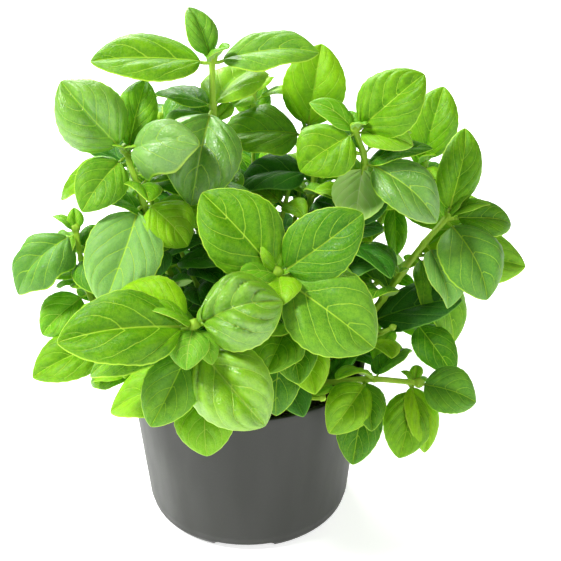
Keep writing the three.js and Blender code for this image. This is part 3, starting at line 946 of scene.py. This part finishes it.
grown = {stem: [] for stem in stem_paths}
for spacing, shortest, longest in FILL_PASSES:
    for stem in stem_paths:
        grown[stem] += fill_stem(stem, spacing, shortest, longest)
for stem, leaves in grown.items():
    meshes = [leaf_mesh(shape, joint, *FILL_DETAIL) for joint, shape in leaves]
    shaded = [is_shaded(shape) for joint, shape in leaves]
    if meshes:
        add_leaves(f"fill_{stem}", meshes, "leaf", shaded)


# ---- stems ----

BUD_STEPS = 8
BUD_LENGTH = 5.5
SEEDLING_BUD_LENGTH = 4.0
STEM_AROUND = 20
JOINT_LENGTH = 0.012  # how far a swelling reaches, as a share of the stem


def make_stem(stem):
    """A squarish stem that tapers upwards, swells where leaves grow and ends in a bud."""
    path = stem_paths[stem]
    small = stem.startswith("seedling")
    bud_length = SEEDLING_BUD_LENGTH if small else BUD_LENGTH
    foot_radius, taper = (1.5, 0.4) if small else (2.15, 0.75)
    heights = np.linspace(0, bud_length, BUD_STEPS + 1)[1:, None]
    path = np.vstack([path, path[-1] + heights * unit(path[-1] - path[-4])])
    angles = np.linspace(0, 2 * np.pi, STEM_AROUND, endpoint=False)
    circle = np.stack([np.cos(angles), np.sin(angles)], axis=1)
    squareness = 1 + 0.10 * np.cos(4 * angles)
    joints = np.array(leaf_joints[stem]) / STEM_STEPS

    def section(progress):
        along = progress * (len(path) - 1) / STEM_STEPS
        up_stem = min(along, 1)
        up_bud = max(along - 1, 0) * STEM_STEPS / BUD_STEPS
        radius = foot_radius - taper * up_stem
        swelling = np.exp(-((joints - up_stem) / JOINT_LENGTH) ** 2).max() if len(joints) else 0
        plump = (1 + 0.9 * math.sin(0.9 * math.pi * up_bud)) * math.sqrt(max(1 - up_bud ** 2, 0.02))
        return radius * plump * (1 + 0.22 * swelling) * squareness[:, None] * circle

    rings = sweep(path, section)
    faces = ring_faces(len(rings), STEM_AROUND)
    piece = add_mesh(f"skin_{stem}", rings.reshape(-1, 3), faces, [stem_skin])
    if not small:
        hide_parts("stem_" + stem)
    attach(piece, "root")


for stem in stem_paths:
    make_stem(stem)


# ---- pot ----

# Sizes that the CAD pot has too, in millimetres.
FLOOR_UNDERSIDE = 4.5
FLOOR_TOP = 6.0
BASE_RADIUS = 56.5
WALL = 1.4
NOTCH_HALF_WIDTH = 16.5
NOTCH_TURN = math.radians(-3.5)  # in radians
NOTCHES = 4
DRAINS = 8
DRAIN_RADIUS = 4.0
DRAIN_CIRCLE = 36.0

# What only this pot has: a lip that runs out into the wall, and slopes at the notches' ends.
LIP_WIDTH = 2.65
LIP_DEPTH = 6.0
NOTCH_SLOPE = 1.2
EDGE_STEPS = 12  # around the base edge's quarter circle
POT_AROUND = 256
DRAIN_AROUND = 32


def cut_drains(pot):
    """Cuts the round drainage holes through the pot's floor."""
    turns = 2 * np.pi * np.arange(DRAIN_AROUND) / DRAIN_AROUND
    vertices, faces = [], []
    for drain in range(DRAINS):
        angle = 2 * math.pi * (drain + 0.5) / DRAINS
        x = pot_axis[0] + DRAIN_CIRCLE * math.cos(angle) + DRAIN_RADIUS * np.cos(turns)
        y = pot_axis[1] + DRAIN_CIRCLE * math.sin(angle) + DRAIN_RADIUS * np.sin(turns)
        faces += ring_faces(2, DRAIN_AROUND, len(vertices))
        for z in (FLOOR_UNDERSIDE - 1, FLOOR_TOP + 1):
            vertices += np.stack([x, y, np.full(DRAIN_AROUND, z)], axis=1).tolist()
    cutter = add_mesh("drain_cutter", vertices, faces, [])
    drilled = pot.modifiers.new("drains", "BOOLEAN")
    drilled.operation = "DIFFERENCE"
    drilled.solver = "EXACT"
    drilled.object = cutter
    finished = pot.evaluated_get(bpy.context.evaluated_depsgraph_get())
    mesh = bpy.data.meshes.new_from_object(finished)
    pot.modifiers.clear()
    pot.data = mesh
    bpy.data.objects.remove(cutter)


def pot_profile():
    """The pot's outline, as (radius, height): under the floor, up outside, over the rim and down inside."""
    points = node_points("pot")
    radii = np.hypot(points[:, 0] - pot_axis[0], points[:, 1] - pot_axis[1])
    foot = radii[points[:, 2] < 0.1]
    foot_inner, foot_outer = foot.min(), foot.max()
    rim = radii.max()
    top = pot_high[2]
    edge = BASE_RADIUS - foot_outer

    def wall(z):
        return BASE_RADIUS + (rim - BASE_RADIUS) * z / top

    profile = [(0.0, FLOOR_UNDERSIDE), (foot_inner - 1.0, FLOOR_UNDERSIDE)]
    profile += [(foot_inner, FLOOR_UNDERSIDE - 0.8), (foot_inner, 0.6)]
    profile += [(foot_inner + 0.6, 0.0), (foot_outer, 0.0)]
    for step in range(1, EDGE_STEPS + 1):
        angle = step / EDGE_STEPS * math.pi / 2
        profile.append((foot_outer + edge * math.sin(angle), edge * (1 - math.cos(angle))))
    for z in np.linspace(edge + 2, top - 0.7, 40):
        profile.append((wall(z), z))
    profile += [(rim - 0.2, top - 0.2), (rim - 0.8, top), (rim - 1.9, top), (rim - 2.5, top - 0.25)]
    profile += [(rim - LIP_WIDTH, top - 0.9), (rim - LIP_WIDTH, top - 3.5)]
    profile.append((wall(top - LIP_DEPTH) - WALL, top - LIP_DEPTH))
    for z in np.linspace(top - LIP_DEPTH - 2, FLOOR_TOP + 1, 20):
        profile.append((wall(z) - WALL, z))
    profile += [(wall(FLOOR_TOP) - 3.0, FLOOR_TOP), (0.0, FLOOR_TOP)]
    return profile


def make_pot():
    """The moulded pot, finer than its CAD node: rim lip, rounded base edge, foot ring with notches."""
    profile = pot_profile()
    quarter = 2 * math.pi / NOTCHES
    vertices = []
    for k in range(POT_AROUND):
        angle = 2 * math.pi * k / POT_AROUND
        nearest = round((angle - NOTCH_TURN) / quarter) * quarter + NOTCH_TURN
        offset = abs(angle - nearest)
        for radius, z in profile[1:-1]:
            into_notch = NOTCH_HALF_WIDTH - radius * math.sin(offset)
            raised = FLOOR_UNDERSIDE * min(max(into_notch / NOTCH_SLOPE, 0), 1)
            height = max(z, raised) if z < FLOOR_UNDERSIDE and offset < quarter / 2 else z
            x, y = radius * math.cos(angle), radius * math.sin(angle)
            vertices.append((pot_axis[0] + x, pot_axis[1] + y, height))
    rows = len(profile) - 2
    faces = []
    for k in range(POT_AROUND):
        a, b = k * rows, (k + 1) % POT_AROUND * rows
        for j in range(rows - 1):
            faces.append((a + j, b + j, b + j + 1, a + j + 1))
    below, inside = len(vertices), len(vertices) + 1
    vertices += [(pot_axis[0], pot_axis[1], FLOOR_UNDERSIDE), (pot_axis[0], pot_axis[1], FLOOR_TOP)]
    for k in range(POT_AROUND):
        a, b = k * rows, (k + 1) % POT_AROUND * rows
        faces.append((below, b, a))
        faces.append((inside, a + rows - 1, b + rows - 1))
    piece = add_mesh("pot_shell", vertices, faces, [pot_material()])
    cut_drains(piece)
    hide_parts("pot")
    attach(piece, "root")


make_pot()


# ---- soil ----

SOIL_SINK = 1.0  # of the crumbly top under the CAD soil's top
SOIL_EDGE_DROP = 3.0  # of the top, from the middle to the wall
SOIL_RINGS = 70
SOIL_AROUND = 180
CRUMBS = 900
CRUMB_SIZES = [0.5, 0.7, 0.9, 1.2, 1.7]


def make_soil():
    """Compost that fills the pot, with an uneven crumbly top."""
    low, high = (np.array(corner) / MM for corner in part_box("soil"))
    centre = (low + high) / 2
    points = node_points("soil")
    radii = np.hypot(points[:, 0] - centre[0], points[:, 1] - centre[1])
    top_radius = radii.max()
    base_radius = radii[points[:, 2] < low[2] + 0.1].max()

    def crown(radius):
        return high[2] - SOIL_SINK - SOIL_EDGE_DROP * (radius / top_radius) ** 2

    vertices = []
    for ring in range(1, SOIL_RINGS + 1):
        radius = top_radius * ring / SOIL_RINGS
        for k in range(SOIL_AROUND):
            angle = 2 * math.pi * k / SOIL_AROUND
            x, y = radius * math.cos(angle), radius * math.sin(angle)
            rough = 1.6 * noise.fractal(Vector((x, y, 0)) * 0.12, 0.8, 2.1, 5)
            rough += 0.7 * noise.noise(Vector((x, y, 3)) * 0.9)
            vertices.append((centre[0] + x, centre[1] + y, crown(radius) + rough))
    for k in range(SOIL_AROUND):
        angle = 2 * math.pi * k / SOIL_AROUND
        x, y = base_radius * math.cos(angle), base_radius * math.sin(angle)
        vertices.append((centre[0] + x, centre[1] + y, low[2]))
    faces = []
    for ring in range(SOIL_RINGS):
        for k in range(SOIL_AROUND):
            a = ring * SOIL_AROUND + k
            b = ring * SOIL_AROUND + (k + 1) % SOIL_AROUND
            faces.append((a, a + SOIL_AROUND, b + SOIL_AROUND, b))
    middle = len(vertices)
    vertices += [(centre[0], centre[1], crown(0)), (centre[0], centre[1], low[2])]
    for k in range(SOIL_AROUND):
        b = (k + 1) % SOIL_AROUND
        faces.append((middle, k, b))
        faces.append((middle + 1, SOIL_RINGS * SOIL_AROUND + b, SOIL_RINGS * SOIL_AROUND + k))
    compost = soil_material()
    piece = add_mesh("soil_fill", vertices, faces, [compost])
    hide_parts("soil")
    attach(piece, "root")
    add_crumbs(centre, top_radius, crown, compost)


def add_crumbs(centre, top_radius, crown, compost):
    """Loose lumps of compost, scattered over the top."""
    vertices, faces = [], []
    scatter = random.Random(3)
    ball_points, ball_faces = small_ball()
    for _ in range(CRUMBS):
        radius = top_radius * 0.97 * math.sqrt(scatter.random())
        angle = scatter.uniform(0, 2 * math.pi)
        size = scatter.choice(CRUMB_SIZES)
        stretch = [scatter.uniform(0.7, 1.6), scatter.uniform(0.7, 1.2), scatter.uniform(0.5, 0.9)]
        turn = np.array(Matrix.Rotation(scatter.uniform(0, 6.28), 3, "Z"))
        height = crown(radius) + scatter.uniform(-0.3, 0.9)
        spot = [centre[0] + radius * math.cos(angle), centre[1] + radius * math.sin(angle), height]
        place = Vector((radius, angle, 0))
        lumps = np.array([1 + 0.35 * noise.noise(Vector(p) * 1.7 + place) for p in ball_points])
        first = len(vertices)
        vertices.extend(spot + (ball_points * lumps[:, None] * stretch * size) @ turn.T)
        faces.extend(tuple(first + corner for corner in face) for face in ball_faces)
    crumbs = add_mesh("soil_crumbs", vertices, faces, [compost])
    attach(crumbs, "root")


def small_ball():
    """Points and faces of a ball of radius 1."""
    ball = bmesh.new()
    bmesh.ops.create_icosphere(ball, subdivisions=2, radius=1.0)
    points = np.array([v.co[:] for v in ball.verts])
    faces = [tuple(v.index for v in face.verts) for face in ball.faces]
    ball.free()
    return points, faces


make_soil()


# ---- stage, light and camera ----

FLOOR_HALF = 6.0
PLANT_MIDDLE = (0.0, 0.0, 0.14)
CAMERA_PITCH = 26.3  # degrees below level
CAMERA_TURN = 2.1  # degrees to the right
SENSOR_WIDTH = 36  # millimetres
CAMERA_LENS = 67.38  # millimetres
WORLD_LIGHT = 0.18


def make_floor():
    """The white surface that the pot stands on, which isn't part of the object."""
    size = FLOOR_HALF
    mesh = bpy.data.meshes.new("floor")
    corners = [(-size, -size, 0), (size, -size, 0), (size, size, 0), (-size, size, 0)]
    mesh.from_pydata(corners, [], [(0, 1, 2, 3)])
    mesh.materials.append(floor_material())
    floor = bpy.data.objects.new("floor", mesh)
    bpy.context.collection.objects.link(floor)


def add_softbox(name, location, size, power):
    """A round light that faces the plant, in metres and watts."""
    light = bpy.data.lights.new(name, "AREA")
    light.shape = "DISK"
    light.size = size
    light.energy = power
    lamp = bpy.data.objects.new(name, light)
    lamp.location = location
    lamp.rotation_euler = (Vector(PLANT_MIDDLE) - Vector(location)).to_track_quat("-Z", "Y").to_euler()
    bpy.context.collection.objects.link(lamp)


def make_camera():
    """The photo's view, found from the outline of its pot."""
    camera_data = bpy.data.cameras.new("camera")
    camera_data.sensor_width = SENSOR_WIDTH
    camera_data.lens = CAMERA_LENS
    camera = bpy.data.objects.new("camera", camera_data)
    camera.location = eye * MM
    camera.rotation_euler = (math.radians(90 - CAMERA_PITCH), 0, math.radians(-CAMERA_TURN))
    bpy.context.collection.objects.link(camera)
    bpy.context.scene.camera = camera


def light_world():
    """White to look at, and a soft light on the object that is much weaker than that."""
    world = bpy.data.worlds.new("white")
    world.use_nodes = True
    tree = world.node_tree
    background = tree.nodes["Background"]
    background.inputs["Color"].default_value = (1, 1, 1, 1)
    seen_directly = add_node(tree, "ShaderNodeLightPath").outputs["Is Camera Ray"]
    inputs = {"Value": seen_directly, "To Min": WORLD_LIGHT, "To Max": 1.0}
    strength = add_node(tree, "ShaderNodeMapRange", inputs)
    tree.links.new(strength.outputs["Result"], background.inputs["Strength"])
    bpy.context.scene.world = world


make_floor()
make_camera()
add_softbox("key", (-0.8, -0.35, 1.2), 0.4, 22)
add_softbox("fill", (0.9, -1.1, 0.7), 1.0, 6)
add_softbox("back", (-0.3, 0.9, 0.95), 0.6, 18)
light_world()
bpy.context.scene.view_settings.view_transform = "Standard"
